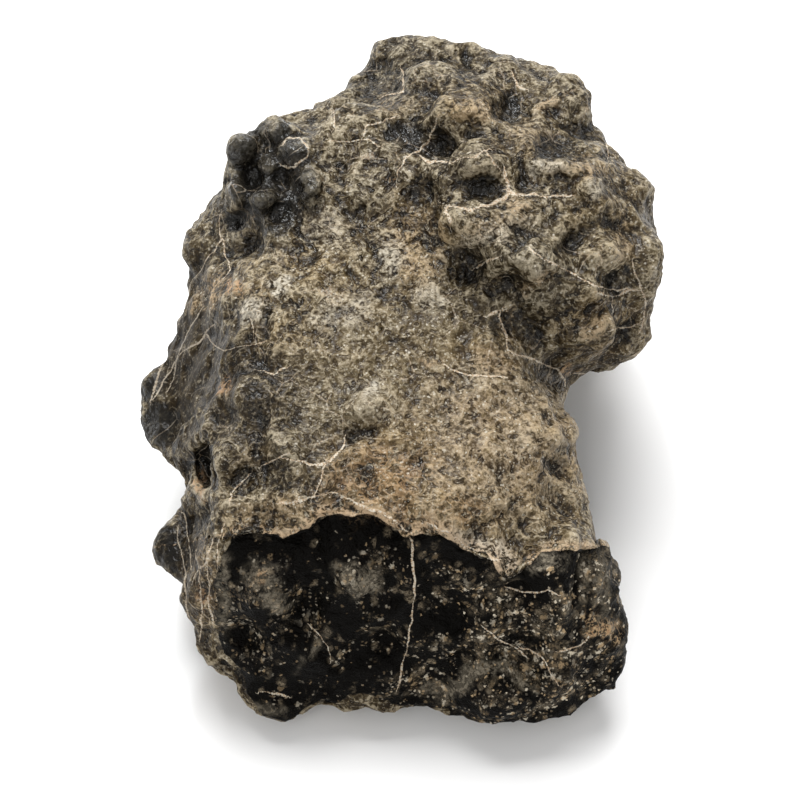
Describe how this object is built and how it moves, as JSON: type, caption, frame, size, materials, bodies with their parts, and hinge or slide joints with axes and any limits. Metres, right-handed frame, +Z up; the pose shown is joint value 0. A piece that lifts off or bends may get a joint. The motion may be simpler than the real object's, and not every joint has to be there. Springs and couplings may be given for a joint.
{
  "type": "lunar meteorite",
  "caption": "Knobbly desert-weathered lunar meteorite with a raised lobe, calcite veins and a fresh dark broken face, resting on a small flat spot.",
  "frame": {"origin": "on the floor, under the middle of the stone's bounding box, in the plane of the small flat spot it rests on", "axes": "+Z up, -Y towards the fresh broken face, +X towards the overhanging side of the raised lobe"},
  "size_m": [0.0526, 0.0682, 0.0388],
  "materials": {
    "stone": "rough brown-grey weathered skin with glossy dark knobs, thin pale tan veins and a black speckled broken face"
  },
  "bodies": {
    "root": {"meteorite": "stone"}
  },
  "joints": []
}
